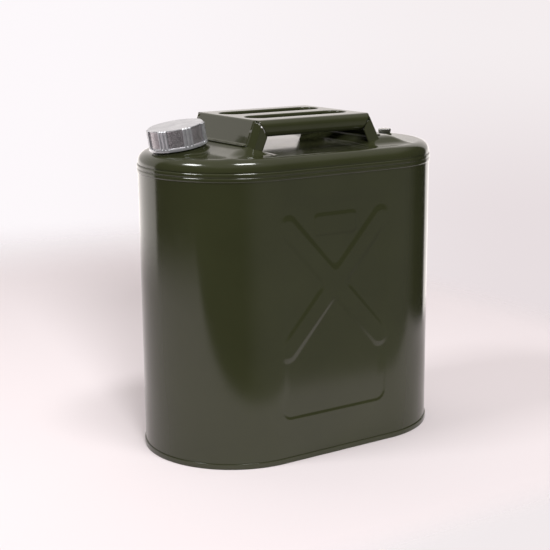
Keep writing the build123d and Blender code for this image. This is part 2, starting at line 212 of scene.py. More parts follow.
def bump(tree, shader, sources):
    """Adds (height output, distance in metres, strength) bumps one on another."""
    normal = None
    for height, distance, strength in sources:
        node = tree.nodes.new("ShaderNodeBump")
        node.inputs["Distance"].default_value = distance
        node.inputs["Strength"].default_value = strength
        tree.links.new(height, node.inputs["Height"])
        if normal:
            tree.links.new(normal, node.inputs["Normal"])
        normal = node.outputs["Normal"]
    tree.links.new(normal, shader.inputs["Normal"])


def blend(tree, kind, factor, low, high):
    """From low to high by a factor, FLOAT or RGBA; either end may be another node's output."""
    node = tree.nodes.new("ShaderNodeMix")
    node.data_type = kind
    tree.links.new(factor, node.inputs["Factor"])
    for socket, value in (("A", low), ("B", high)):
        if isinstance(value, float):
            node.inputs[socket].default_value = value
        elif isinstance(value, tuple):
            node.inputs[socket].default_value = (*value, 1)
        else:
            tree.links.new(value, node.inputs[socket])
    return node.outputs["Result"]


def ranged(tree, source, from_low, from_high, to_low, to_high):
    """A value moved smoothly from one range to another."""
    node = tree.nodes.new("ShaderNodeMapRange")
    node.interpolation_type = "SMOOTHSTEP"
    node.inputs["From Min"].default_value = from_low
    node.inputs["From Max"].default_value = from_high
    node.inputs["To Min"].default_value = to_low
    node.inputs["To Max"].default_value = to_high
    tree.links.new(source, node.inputs["Value"])
    return node.outputs["Result"]


def green_paint():
    """Glossy olive enamel, sprayed: faint orange peel, drifts of tone and a few dust nibs."""
    material, tree, shader = node_material("green_paint")
    drift = noise(tree, 9.0, 4.0, 0.55)
    tone = ramp(tree, drift.outputs["Fac"], [(0.3, (0.0240, 0.0262, 0.0112)),
                                             (0.7, (0.0286, 0.0311, 0.0134))])
    tree.links.new(tone.outputs["Color"], shader.inputs["Base Color"])
    haze = noise(tree, 60.0, 5.0, 0.6)
    gloss = ramp(tree, haze.outputs["Fac"], [(0.3, (0.10,)), (0.75, (0.16,))])
    tree.links.new(gloss.outputs["Color"], shader.inputs["Roughness"])
    shader.inputs["IOR"].default_value = 1.5
    peel = noise(tree, 420.0, 2.0, 0.4)
    nibs = noise(tree, 1500.0, 1.0, 0.3)
    specks = ramp(tree, nibs.outputs["Fac"], [(0.74, (0.0,)), (0.80, (1.0,))])
    bump(tree, shader, [(peel.outputs["Fac"], 0.00004, 0.35),
                        (specks.outputs["Color"], 0.00003, 0.3)])
    return material


def cast_alloy():
    """Bare die-cast alloy: fine pitted skin, darker in the panels' hollows."""
    material, tree, shader = node_material("cast_alloy")
    grain = noise(tree, 900.0, 4.0, 0.65)
    cloud = noise(tree, 90.0, 4.0, 0.6)
    tone = ramp(tree, cloud.outputs["Fac"], [(0.3, (0.50, 0.505, 0.53)),
                                             (0.7, (0.66, 0.665, 0.69))])
    hollow = tree.nodes.new("ShaderNodeAttribute")
    hollow.attribute_name = HOLLOW
    pits = ramp(tree, grain.outputs["Fac"], [(0.4, (0.22, 0.205, 0.215)),
                                             (0.62, (0.66, 0.62, 0.65))])
    colour = blend(tree, "RGBA", hollow.outputs["Fac"], tone.outputs["Color"],
                   pits.outputs["Color"])
    tree.links.new(colour, shader.inputs["Base Color"])
    shader.inputs["Metallic"].default_value = 0.8
    rough = ramp(tree, grain.outputs["Fac"], [(0.3, (0.26,)), (0.75, (0.46,))])
    tree.links.new(rough.outputs["Color"], shader.inputs["Roughness"])
    bump(tree, shader, [(cloud.outputs["Fac"], 0.0002, 0.3), (grain.outputs["Fac"], 0.00015, 0.6)])
    return material


def plated_steel():
    """Bright zinc plate with a faint bloom."""
    material, tree, shader = node_material("plated_steel")
    bloom = noise(tree, 250.0, 4.0, 0.6)
    tone = ramp(tree, bloom.outputs["Fac"], [(0.3, (0.56, 0.56, 0.55)), (0.7, (0.70, 0.70, 0.69))])
    tree.links.new(tone.outputs["Color"], shader.inputs["Base Color"])
    shader.inputs["Metallic"].default_value = 1.0
    rough = ramp(tree, bloom.outputs["Fac"], [(0.3, (0.18,)), (0.8, (0.30,))])
    tree.links.new(rough.outputs["Color"], shader.inputs["Roughness"])
    bump(tree, shader, [(bloom.outputs["Fac"], 0.00008, 0.3)])
    return material


def seal_rubber():
    """Black rubber with a matt grain."""
    material, tree, shader = node_material("seal_rubber")
    grain = noise(tree, 700.0, 3.0, 0.6)
    tone = ramp(tree, grain.outputs["Fac"], [(0.3, (0.012, 0.012, 0.012)),
                                             (0.8, (0.028, 0.027, 0.026))])
    tree.links.new(tone.outputs["Color"], shader.inputs["Base Color"])
    rough = ramp(tree, grain.outputs["Fac"], [(0.2, (0.55,)), (0.8, (0.75,))])
    tree.links.new(rough.outputs["Color"], shader.inputs["Roughness"])
    bump(tree, shader, [(grain.outputs["Fac"], 0.0001, 0.4)])
    return material


GREEN = green_paint()
ALLOY = cast_alloy()
PLATED = plated_steel()
RUBBER = seal_rubber()
SLOT_MATERIALS = {"green_paint": GREEN, "cast_alloy": ALLOY, "plated_steel": PLATED,
                  "seal_rubber": RUBBER}


def paint_cad_nodes():
    """Every CAD node that stays gets its slot's material."""
    slots = {part["node"]: part["material_slot"] for part in frame["record"]["subparts"]}
    for name, node in frame["nodes"].items():
        for place in node.material_slots:
            place.material = SLOT_MATERIALS[slots[name]]


# ---- wall ----
CROSS_Z = 205.0
CROSS_REACH = (65.0, 71.5)
CROSS_HALF = 12.5
CROSS_FACE = 0.4                            # faces: how far they stand out from the wall
CROSS_FILLET = 9.0                          # where the arms meet
PANEL_HALF_X = 73.0
PANEL_Z = (52.5, 308.0)
PANEL_CORNER_R = 12.0
PANEL_DEPTH = 0.8
PANEL_CRISP_Z = (60, 90)                    # its edge is sharp below, soft above
PLATE_HALF = (29.0, 12.5)
PLATE_CORNER_R = 5.0
PLATE_Z = 275.0
PLATE_FACE = -0.1
WAVE_ARC_R = 110.0                          # waves run on round the ends at this radius
WAVE_HEIGHT = 0.07
WAVE_INSET = 0.1                            # the waved sheet lies this far in on average
WAVE_Z = (40, 300)                          # full waves between these heights
FINE_Z = (48, 312)                          # closely spaced rows, for the pressings


def arm_distance(x, z, side):
    """Distance outside one arm of the cross, negative within it."""
    length = math.hypot(*CROSS_REACH)
    ux, uz = CROSS_REACH[0] / length, side * CROSS_REACH[1] / length
    dx, dz = x - FEATURE_X, z - CROSS_Z
    along = min(max(dx * ux + dz * uz, -length), length)
    return math.hypot(dx - along * ux, dz - along * uz) - CROSS_HALF


def rounded_box_distance(dx, dz, half_x, half_z, corner):
    """Distance outside a rectangle with round corners, negative within it."""
    ax, az = abs(dx) - half_x + corner, abs(dz) - half_z + corner
    return math.hypot(max(ax, 0), max(az, 0)) + min(max(ax, az), 0) - corner


def pressing(x, z):
    """How far the front's pressings stand out from the wall."""
    middle = sum(PANEL_Z) / 2
    panel = rounded_box_distance(x - FEATURE_X, z - middle, PANEL_HALF_X,
                                 (PANEL_Z[1] - PANEL_Z[0]) / 2, PANEL_CORNER_R)
    cross = soft_min(arm_distance(x, z, 1), arm_distance(x, z, -1), CROSS_FILLET)
    plate = rounded_box_distance(x - FEATURE_X, z - PLATE_Z, *PLATE_HALF, PLATE_CORNER_R)
    soft = smoothstep(*PANEL_CRISP_Z, z)
    out = -PANEL_DEPTH * (1 - soft) * smoothstep(1.0, -2.0, panel)
    out -= PANEL_DEPTH * soft * smoothstep(4.0, -12.0, panel)
    arms = smoothstep(2.5, -5.5, cross)
    out += (CROSS_FACE - out) * arms
    out += (PLATE_FACE - out) * (1 - arms) * smoothstep(1.5, -2.5, plate)
    return out


def sheet_wave(station, z):
    """The slow hills and hollows of rolled sheet, a tenth of a millimetre or so."""
    centre, turn = station
    along = centre + WAVE_ARC_R * math.cos(turn)
    wave = math.sin(along / 37 + z / 61) + 0.7 * math.sin(along / 23 - z / 44 + 1.3)
    fade = smoothstep(WRAP_FOOT, WAVE_Z[0], z) * smoothstep(WRAP_TOP, WAVE_Z[1], z)
    return (WAVE_HEIGHT * wave - WAVE_INSET) * fade


def build_wall():
    low, high = FINE_Z
    rows = [WRAP_FOOT + (low - WRAP_FOOT) * i / 12 for i in range(12)]
    rows += [low + (high - low) * i / 216 for i in range(216)]
    rows += [high + (WRAP_TOP - high) * i / 6 for i in range(7)]
    stations = outline(125, 60, 30)
    points = []
    for z in rows:
        for station in stations:
            out = sheet_wave(station, z)
            if station[1] == -math.pi / 2:
                out += pressing(station[0], z)
            x, y = on_outline(station, out)
            points.append((x, y, z))
    for z in (WRAP_TOP, WRAP_FOOT):
        for station in stations:
            x, y = on_outline(station, -SHEET)
            points.append((x, y, z))
    faces = grid_faces(len(rows) + 2, len(stations), close_rows=True, close_columns=True)
    mesh_piece("body_wall", points, faces, GREEN, "can", ["body_wrap"])


SEAM_SUNK = 0.15            # its edges lie this far inside the wall's face
SEAM_FLANK = 2.0            # width of its rounded edges
RIPPLE_HEIGHT = 0.12
RIPPLE_PITCH = 5.0
RIPPLE_ACROSS = (2.4, 0.6)  # from the middle line: where ripples start, where they are full


def build_seam():
    """Lapped side seam down the middle of the back, with its even row of weld ripples."""
    low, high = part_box("side_seam")
    half, proud = (high.x - low.x) / 2 / MM, (high.y - wrap_high.y) / MM
    columns, rows = 14, 260
    points = []
    for i in range(rows + 1):
        z = low.z / MM + (high.z - low.z) / MM * i / rows
        for j in range(columns + 1):
            x = -half + 2 * half * j / columns
            flank = smoothstep(half, half - SEAM_FLANK, abs(x))
            ripple = RIPPLE_HEIGHT * math.cos(TAU * z / RIPPLE_PITCH)
            ripple *= smoothstep(*RIPPLE_ACROSS, abs(x))
            rise = (proud + 0.05 - RIPPLE_HEIGHT + ripple) * flank
            points.append((x, END_R - SEAM_SUNK + rise, z))
    faces = grid_faces(rows + 1, columns + 1)
    seam = mesh_piece("seam_strip", points, faces, GREEN, "can", ["side_seam"])
    thicken(seam, 0.1)


# ---- rims ----

def build_rims():
    stations = outline(40, 96, 40)
    low, high = rim_low.z / MM, rim_high.z / MM
    bead = (rim_high.y - wrap_high.y) / MM
    middle, band = (low + high) / 2, 0.3
    profile = [(-0.2, low), (band, low)]
    slant = arc((0, 0), 6.0, 44, 32, 6)
    side = slant[-1][0] - slant[0][0]
    fit = (bead - band - 0.06) / side
    face = [((x - slant[0][0]) * fit, (slant[0][1] - z) * fit) for x, z in slant]
    for start, stop in ((low, middle - 0.15), (middle + 0.15, high)):
        profile += [(band + out, start + up) for out, up in face]
        profile += [(bead, start + face[-1][1] + 0.2), (bead, stop - face[-1][1] - 0.2)]
        profile += [(band + out, stop - up) for out, up in reversed(face)]
        if stop < middle:
            profile.append((band, middle + 0.15))
    profile.append((-0.2, high))
    sweep_round("top_bead", profile, stations, GREEN, ["top_rim"])

    out, height = (foot_high.y - wrap_high.y) / MM, foot_high.z / MM
    chime = arc((out - 1.0, 1.0), 1.0, -90, 0, 6)
    chime += arc((out - 0.8, height - 0.8), 0.8, 0, 90, 6)
    chime += [(-0.3, height), (-0.3, 2.0), (-2.0, 2.0), (-2.0, height), (-3.0, height)]
    chime += arc((-2.0, 1.0), 1.0, 180, 270, 4)
    sweep_round("bottom_chime", chime, stations, GREEN, ["bottom_rim"])


# ---- top ----
LEFT_SEAT = ((-102.5, -89.0), (-131.0, -73.0))      # x at the top, x at the foot
RIGHT_SEAT = ((77.0, 107.0), (62.0, 124.0))
SEAT_HALF_Y = (66.0, 84.0)
DOME = 0.8
NECK_MOUTH = Vector(joints["cap_turn"]["pos_m"]) / MM
NECK_AXIS = Vector(joints["cap_turn"]["axis"]).normalized()
NECK_SIDE = Vector((0, 1, 0))
NECK_OVER = NECK_SIDE.cross(NECK_AXIS)
VENT_AT = Vector(joints["vent_turn"]["pos_m"]) / MM
NECK_HOLE_R = 23.7
VENT_HOLE_R = 4.5
CREASE = ((340.2, 0), (340.5, 0.55), (341.1, 0.55), (341.4, 0))     # (height, depth), below the lid


def seat_rise(x, y, seat):
    """From 0 on the flat to 1 on a seat's top, with rounded creases between the slopes."""
    top, foot = seat
    left = (x - foot[0]) / (top[0] - foot[0])
    right = (foot[1] - x) / (foot[1] - top[1])
    side = (SEAT_HALF_Y[1] - abs(y)) / (SEAT_HALF_Y[1] - SEAT_HALF_Y[0])
    rise = soft_min(soft_min(left, right, 0.35), side, 0.5)
    return soft_min(soft_max(rise, 0.0, 0.35), 1.0, 0.3)


def lid_height(x, y):
    """Outer surface of the top."""
    past = max(abs(x) - HALF, 0.0)
    depth = END_R - math.hypot(past, y)
    if depth < SHOULDER_R:
        across = SHOULDER_R - depth
        level = LID_FLAT - SHOULDER_R + math.sqrt(max(SHOULDER_R ** 2 - across ** 2, 0))
    else:
        level = LID_FLAT + DOME * smoothstep(SHOULDER_R, 75, depth)
    for seat in (LEFT_SEAT, RIGHT_SEAT):
        level += (SEAT_TOP - level) * seat_rise(x, y, seat)
    return level


def from_neck_axis(x, y, z):
    away = Vector((x, y, z)) - NECK_MOUTH
    return (away - away.dot(NECK_AXIS) * NECK_AXIS).length


def build_lid():
    stations = outline(104, 128, 104)
    depths = [SHOULDER_R * (1 - math.cos(math.pi / 2 * i / 14)) for i in range(15)]
    depths += [SHOULDER_R + (END_R - SHOULDER_R) * i / 64 for i in range(1, 65)]
    points = []
    skirt = ((WRAP_TOP, 0), *CREASE)
    for z, tuck in skirt:
        for station in stations:
            x, y = on_outline(station, -tuck)
            points.append((x, y, z))
    for depth in depths:
        for station in stations:
            x, y = on_outline(station, -depth)
            points.append((x, y, lid_height(x, y)))
    holes = {i for i, (x, y, z) in enumerate(points)
             if from_neck_axis(x, y, z) < NECK_HOLE_R
             or math.hypot(x - VENT_AT.x, y) < VENT_HOLE_R}
    faces = grid_faces(len(depths) + len(skirt), len(stations), close_columns=True)
    faces = [face for face in faces if not holes.intersection(face)]
    lid = mesh_piece("lid", points, faces, GREEN, "can", ["top_pan"])
    thicken(lid, SHEET)


# ---- filler ----
NECK_R = 25.5
NECK_BORE_R = 22.0
THREAD_RISE = 1.5
THREAD_LEAD = 8.0
NECK_LIP_H = 17.6
NECK_FOOT_H = -17.0
COLLAR_R = 31.5
COLLAR_TOP_H = -2.2


def on_neck(radius, turn, height):
    """A point about the neck's axis, this high over the closed cap's rim."""
    across = NECK_OVER * math.cos(turn) + NECK_SIDE * math.sin(turn)
    return tuple(NECK_MOUTH + across * radius + NECK_AXIS * height)


def turned_piece(name, radius_at, rows, steps, material, body, nodes, sharp=35):
    """Points radius_at(row, turn) -> (radius, height), closed on itself as a ring."""
    points = []
    for row in rows:
        for j in range(steps):
            turn = TAU * j / steps
            radius, height = radius_at(row, turn)
            points.append(on_neck(radius, turn, height))
    faces = grid_faces(len(rows), steps, close_rows=True, close_columns=True)
    return mesh_piece(name, points, faces, material, body, nodes, sharp)


def thread_rise(turn, height):
    """Two-start rounded thread that fades in and out."""
    phase = (2 * (height / THREAD_LEAD - turn / TAU)) % 1.0
    ridge = smoothstep(0.18, 0.38, phase) * smoothstep(0.82, 0.62, phase)
    return THREAD_RISE * ridge * smoothstep(0.5, 2.5, height) * smoothstep(15.0, 13.0, height)


def build_neck():
    heights = [NECK_FOOT_H, -8, -2] + [0.4 * i for i in range(39)] + [16.4, 16.9]
    outside = [("wall", h) for h in heights]
    lip = [("lip", point) for point in arc((NECK_R - 0.8, NECK_LIP_H - 0.8), 0.8, 0, 90, 5)]
    lip += [("lip", point) for point in arc((NECK_BORE_R + 0.8, NECK_LIP_H - 0.8), 0.8, 90, 180, 5)]
    inside = [("lip", (NECK_BORE_R, h)) for h in (8, 0, -8, NECK_FOOT_H)]

    def radius_at(row, turn):
        kind, value = row
        if kind == "wall":
            return NECK_R + thread_rise(turn, value), value
        return value
    turned_piece("threaded_neck", radius_at, outside + lip + inside, 120, GREEN, "can",
                 ["filler_neck"])


def build_collar():
    """The raised ring that the neck stands in, flared out into the top."""
    flare, step_down = 4.0, 0.1
    steps, flare_rows = 120, 7
    columns = []
    for j in range(steps):
        turn = TAU * j / steps
        height = COLLAR_TOP_H
        while height > -20:
            x, y, z = on_neck(COLLAR_R + 0.5, turn, height)
            if z < lid_height(x, y) + 0.05:
                break
            height -= step_down
        top = COLLAR_TOP_H
        start = min(height + flare, top - 2.6)
        start_point = Vector(on_neck(COLLAR_R + 0.1, turn, start))
        corner = Vector(on_neck(COLLAR_R + 0.5, turn, height))
        x, y, z = on_neck(COLLAR_R + 0.5 + flare, turn, height)
        landing = Vector((x, y, lid_height(x, y) - 0.12))
        column = [Vector(on_neck(NECK_R, turn, -14)), Vector(on_neck(NECK_R, turn, top))]
        for r, h in arc((COLLAR_R - 2.5, top - 2.5), 2.5, 90, 0, 7):
            column.append(Vector(on_neck(r, turn, h)))
        for i in range(flare_rows + 1):
            t = i / flare_rows
            column.append(start_point * (1 - t) ** 2 + corner * 2 * t * (1 - t) + landing * t * t)
        column.append(landing + Vector((0, 0, -0.9)))
        columns.append(column)
    rows = len(columns[0])
    points = [tuple(columns[j][i]) for i in range(rows) for j in range(steps)]
    faces = grid_faces(rows, steps, close_rows=True, close_columns=True)
    mesh_piece("collar_ring", points, faces, GREEN, "can", ["neck_collar"])


CAP_R = 33.8
CAP_PANEL_R = 31.8
CAP_H = 24.0
CAP_BORE_R = 27.5
CAP_TOP_T = 2.4
CAP_RIBS = 7
RIB_START = -96.0
RIB_HALF = 10.5
CAP_RIM_H = 3.2


def rib_profile(turn):
    """0 on the panels, 1 on a rib's three ridges, with two grooves between them."""
    pitch = 360 / CAP_RIBS
    off = (math.degrees(turn) - RIB_START + pitch / 2) % pitch - pitch / 2
    rib = smoothstep(RIB_HALF, RIB_HALF - 1.4, abs(off))
    groove = smoothstep(1.9, 0.7, abs(abs(off) - 4.0))
    return rib - 0.62 * groove * rib


def cap_outside(height, turn):
    """The casting's outer radius: a plain rim, then panels between ribs up to the top."""
    rib = rib_profile(turn)
    dished = 0.35 * smoothstep(CAP_H - 0.6, CAP_H - 2.0, height)
    ribbed = CAP_PANEL_R - dished + (CAP_R - 0.35 - CAP_PANEL_R + dished) * rib
    into_rim = smoothstep(CAP_RIM_H + 0.7, CAP_RIM_H - 0.3, height)
    outer = CAP_R - 0.25 * smoothstep(1.2, 3.2, height)
    radius = ribbed + (outer - ribbed) * into_rim
    return radius - (0.35 + 0.9 * rib) * smoothstep(CAP_H - 1.0, CAP_H, height)


def build_cap():
    heights = [0.25, 0.6, 1.2, 1.8, 2.4] + [2.7 + 0.25 * i for i in range(7)]
    heights += [4.6 + 1.9 * i for i in range(9)]
    heights += [21.2, 21.9, 22.4, 22.8, 23.0, 23.2, 23.4, 23.6, 23.8, CAP_H]
    rows = [("lip", (CAP_BORE_R + 1.0, 0.0)), ("lip", (CAP_R - 0.5, 0.0))]
    rows += [("out", h) for h in heights]
    rows += [("lip", (r, CAP_H)) for r in (30.6, 20.0, 9.0, 0.0)]
    ceiling = CAP_H - CAP_TOP_T
    rows += [("lip", (0.0, ceiling)), ("lip", (14.0, ceiling)), ("lip", (CAP_BORE_R, ceiling))]
    rows += [("bore", ceiling - 2.5 - 0.5 * i) for i in range(36)]

    def radius_at(row, turn):
        kind, value = row
        if kind == "out":
            return cap_outside(value, turn), value
        if kind == "bore":
            groove = 0.35 * math.cos(TAU * (2 * (value / THREAD_LEAD - turn / TAU) % 1.0))
            return CAP_BORE_R + 0.35 + groove * smoothstep(0.4, 2.0, value), value
        return value
    cap = turned_piece("screw_cap", radius_at, rows, 504, ALLOY, "cap", ["cap_shell"],
                       40)
    hollow = cap.data.attributes.new(HOLLOW, "FLOAT", "POINT")
    for index, vertex in enumerate(cap.data.vertices):
        x, y, z = vertex.co / MM
        height = (vertex.co / MM - NECK_MOUTH).dot(NECK_AXIS)
        recessed = smoothstep(32.4, 31.9, from_neck_axis(x, y, z))
        recessed *= smoothstep(3.4, 4.4, height) * smoothstep(23.3, 22.6, height)
        hollow.data[index].value = recessed


# ---- air screw ----

SHANK_R = 3.0
SHANK_LENGTH = 12.0
KNURLS = 24
KNURL_DEPTH = 0.45


def build_vent():
    """The knurled head and the plain shank, with a small tapered tip."""
    low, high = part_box("vent_screw")
    head = (high.z - low.z) / MM - SHANK_LENGTH
    base, top = high.z / MM - head, high.z / MM
    radius = (high.x - low.x) / 2 / MM
    steps = 192
    rows = [(0.0, top - 0.5, 0), (2.6, top - 0.5, 0), (3.0, top, 0), (radius - 1.1, top, 0),
            (radius - 0.5, top - 0.25, 0.3), (radius, top - 0.8, 1), (radius, base + 0.9, 1),
            (radius - 0.3, base + 0.45, 0.4), (radius - 0.8, base, 0), (3.3, base, 0),
            (SHANK_R, base - 0.3, 0), (SHANK_R, base - 11.2, 0), (2.2, low.z / MM, 0),
            (0.0, low.z / MM, 0)]
    points = []
    for r, z, depth in rows:
        for j in range(steps):
            turn = TAU * j / steps
            cut = KNURL_DEPTH * depth * (0.5 - 0.5 * math.cos(KNURLS * turn)) ** 1.5
            points.append((VENT_AT.x + (r - cut) * math.cos(turn), (r - cut) * math.sin(turn), z))
    faces = grid_faces(len(rows), steps, close_columns=True)
    mesh_piece("air_screw", points, faces, PLATED, "vent", ["vent_screw"])


# ---- handle ----
HANDLE_SHEET = 1.4
HANDLE_TOP = handle_high.z / MM
HANDLE_HALF_X = 78.0
HANDLE_HALF_Y = handle_high.y / MM
ROLL_R = 8.0
ROLL_H = 19.0
ROLL_LOW = HANDLE_TOP - ROLL_H
ROLL_HALF_X = (77.2, 66.6)      # at the top, at the bottom
ROLL_GAP = 0.9
FOOT_X = {-1: 89.2, 1: 92.8}
FOOT_REACH = 5.5
BEND_R = 2.6
FOOT_BEND_R = 2.0
FLAT_HALF_Y = HANDLE_HALF_Y - ROLL_R
CORNER_X = 4.5
SLOT_HALF = (68.0, 17.0)
SLOT_Y = 29.0
SLOT_LIP = 4.5
SLOT_LIP_R = 1.8
KITE_TIP = (75.4, 356.0)
PLAN_BEND = 1.2                 # reach of the bend beside the end plate
FACET_BEND = 0.9                # and of the one beside the kite flange
SUNK_FOOT = 0.9                 # flanges end this far inside the top
COLUMN_STEPS = 28


def slanted_end(z):
    """Where a roll ends at this height."""
    top, low = ROLL_HALF_X
    return low + (top - low) * (z - ROLL_LOW) / ROLL_H


def kite_edge(z):
    """The flange's inner edge: beside the roll's end, then out again to its tip."""
    if z > ROLL_LOW:
        return slanted_end(z) + ROLL_GAP
    start = slanted_end(ROLL_LOW) + ROLL_GAP
    return start + (KITE_TIP[0] - start) * (ROLL_LOW - z) / (ROLL_LOW - KITE_TIP[1])


def round_off(before, corner, after, reach, steps):
    """A soft bend at a plan corner, reaching this far along both its sides."""
    before, corner, after = Vector(before), Vector(corner), Vector(after)
    start = corner + (before - corner).normalized() * reach
    stop = corner + (after - corner).normalized() * reach
    points = []
    for i in range(steps + 1):
        t = i / steps
        points.append(start * (1 - t) ** 2 + corner * 2 * t * (1 - t) + stop * t * t)
    return points


def build_handle():
    work = bmesh.new()
    flat_edges = []

    def vert(x, y, z):
        return work.verts.new(((FEATURE_X + x) * MM, y * MM, z * MM))

    def chain(verts, closed=False):
        ends = verts[1:] + verts[:1] if closed else verts[1:]
        for a, b in zip(verts, ends):
            flat_edges.append(work.edges.get((a, b)) or work.edges.new((a, b)))

    def strip(rows, closed=False):
        for upper, lower in zip(rows, rows[1:]):
            count = len(upper) if closed else len(upper) - 1
            for j in range(count):
                k = (j + 1) % len(upper)
                work.faces.new((upper[j], upper[k], lower[k], lower[j]))

    for middle in (-SLOT_Y, SLOT_Y):
        rings = [[vert(*point) for point in slot_ring(middle, r, z)]
                 for r, z in arc((SLOT_LIP_R, HANDLE_TOP - SLOT_LIP_R), SLOT_LIP_R, 90, 180, 6)]
        rings.append([vert(*point) for point in slot_ring(middle, 0, HANDLE_TOP - SLOT_LIP)])
        strip(rings, closed=True)
        chain(rings[0], closed=True)

    corners = {}
    flat_ys = [(FLAT_HALF_Y - PLAN_BEND) * (j / 14 - 1) for j in range(29)]
    for side in (-1, 1):
        tilt = math.atan2(FOOT_X[side] - HANDLE_HALF_X, HANDLE_TOP - SEAT_TOP)
        path, upper_end = end_path(side, tilt)
        rows = [[vert(side * x, y, z) for y in flat_ys] for x, z in path]
        strip(rows)
        corners[side] = rows[0]
        for wall in (-1, 1):
            columns = corner_columns(side, wall, tilt, upper_end)
            strip([[vert(*column[j]) for column in columns] for j in range(COLUMN_STEPS + 1)])

    fronts = {}
    profile = [(FLAT_HALF_Y, HANDLE_TOP)]
    profile += arc((FLAT_HALF_Y, HANDLE_TOP - ROLL_R), ROLL_R, 90, 0, 12)[1:]
    profile += arc((FLAT_HALF_Y, ROLL_LOW + ROLL_R), ROLL_R, 0, -90, 12)
    for wall in (-1, 1):
        rows = []
        for y, z in profile:
            end = slanted_end(z)
            rows.append([vert(end * (i / 30 - 1), wall * y, z) for i in range(61)])
        strip(rows)
        fronts[wall] = rows[0]
    chain(corners[-1])
    chain(corners[1])
    for wall in (-1, 1):
        at = 0 if wall < 0 else -1
        chain([corners[-1][at]] + fronts[wall] + [corners[1][at]])
    bmesh.ops.triangle_fill(work, use_beauty=True, use_dissolve=False, edges=flat_edges)
    mesh = bpy.data.meshes.new("carry_handle")
    work.to_mesh(mesh)
    work.free()
    handle = finish_piece("carry_handle", mesh, GREEN, "can", ["handle"], 50)
    thicken(handle, HANDLE_SHEET)
    even = handle.modifiers.new("even", "WEIGHTED_NORMAL")
    even.keep_sharp = True


def slot_ring(middle, grow, z):
    """An obround ring round a finger slot, this much larger than its opening."""
    radius = SLOT_HALF[1] + grow
    straight = SLOT_HALF[0] - SLOT_HALF[1]
    ring = []
    for side in (1, -1):
        for i in range(33):
            turn = -math.pi / 2 + math.pi * i / 32
            ring.append((side * (straight + radius * math.cos(turn)),
                         middle + side * radius * math.sin(turn), z))
    return ring


def end_path(side, tilt):
    """Side view of one end: bend, leaning plate, bend, foot. Also where the first bend ends."""
    turned = math.pi / 2 - tilt
    start = HANDLE_HALF_X - BEND_R * math.tan(turned / 2)
    path = []
    for i in range(9):
        t = turned * i / 8
        path.append((start + BEND_R * math.sin(t), HANDLE_TOP - BEND_R * (1 - math.cos(t))))
    upper_end = path[-1]
    foot_z = SEAT_TOP + HANDLE_SHEET
    foot_x = HANDLE_HALF_X + (HANDLE_TOP - foot_z) * math.tan(tilt)
    back = FOOT_BEND_R * math.tan(turned / 2)
    bend_start = (foot_x - back * math.sin(tilt), foot_z + back * math.cos(tilt))
    for i in range(1, 13):
        t = i / 12
        path.append((upper_end[0] + (bend_start[0] - upper_end[0]) * t,
                     upper_end[1] + (bend_start[1] - upper_end[1]) * t))
    for i in range(1, 7):
        t = turned * (1 - i / 6)
        path.append((foot_x + back - FOOT_BEND_R * math.sin(t),
                     foot_z + FOOT_BEND_R * (1 - math.cos(t))))
    path.append((FOOT_X[side] + FOOT_REACH, foot_z))
    return path, upper_end


def corner_columns(side, wall, tilt, upper_end):
    """One corner of an end: the slanting facet between two bends, then the kite flange."""
    plan = round_off((0, -9), (0, 0), (CORNER_X, ROLL_R), PLAN_BEND, 5)
    plan += round_off((0, 0), (CORNER_X, ROLL_R), (9 + CORNER_X, ROLL_R), FACET_BEND, 5)
    columns = []
    for inward, along in plan:
        y = wall * (FLAT_HALF_Y + along)
        past = max(along, 0.0)
        top = HANDLE_TOP - ROLL_R + math.sqrt(max(ROLL_R ** 2 - past ** 2, 0))
        top -= (HANDLE_TOP - upper_end[1]) * max(1 - past / ROLL_R, 0)
        columns.append(standing_column(
            lambda z, inward=inward: HANDLE_HALF_X + (HANDLE_TOP - z) * math.tan(tilt) - inward,
            side, y, top))
    crease = plan[-1].x
    for i in range(1, 11):
        def x_at(z, t=i / 10):
            x = HANDLE_HALF_X + (HANDLE_TOP - z) * math.tan(tilt) - crease
            return x + (kite_edge(z) - x) * t
        columns.append(standing_column(x_at, side, wall * HANDLE_HALF_Y, HANDLE_TOP - ROLL_R))
    return columns


def standing_column(x_at, side, y, top):
    """One line down an end's corner, from its top to just inside the top's surface."""
    low = top
    while low > KITE_TIP[1] and low > lid_height(FEATURE_X + side * x_at(low), y) - SUNK_FOOT:
        low -= 0.1
    heights = [top + (low - top) * j / COLUMN_STEPS for j in range(COLUMN_STEPS + 1)]
    return [(side * x_at(z), y, z) for z in heights]


# ---- stage, in metres except the lens and its sensor ----
CAMERA_AT = Vector((-0.8173, -1.2344, 0.5285))
CAMERA_RIGHT = Vector((0.83865877, -0.54460292, -0.00768956))
CAMERA_UP = Vector((0.12647413, 0.18099217, 0.97531848))
LENS = 80.88                    # millimetres
SENSOR = 36.0
FLOOR_HALF = 4.0
# Where the floor clears, the camera sees the background with its painted shade.
FRONT_FADE = (-0.38, -0.30)     # y: the floor is clear, then solid
RIGHT_FADE = (0.56, 0.72)       # x: solid, then clear
FAR_FADE = (0.9, 1.6)           # distance from the can's middle: solid, then clear
LIGHT_AIM = Vector((0, 0, 0.3))
SOFTBOX_DISTANCE = 1.7
SOFTBOX_SIZE = (0.45, 0.3)


def build_camera():
    data = bpy.data.cameras.new("camera")
    data.sensor_fit = "HORIZONTAL"
    data.sensor_width = SENSOR
    data.lens = LENS
    camera = bpy.data.objects.new("camera", data)
    bpy.context.scene.collection.objects.link(camera)
    back = CAMERA_RIGHT.cross(CAMERA_UP).normalized()
    turn = Matrix((CAMERA_RIGHT, CAMERA_UP, back)).transposed().to_4x4()
    camera.matrix_world = Matrix.Translation(CAMERA_AT) @ turn
    bpy.context.scene.camera = camera


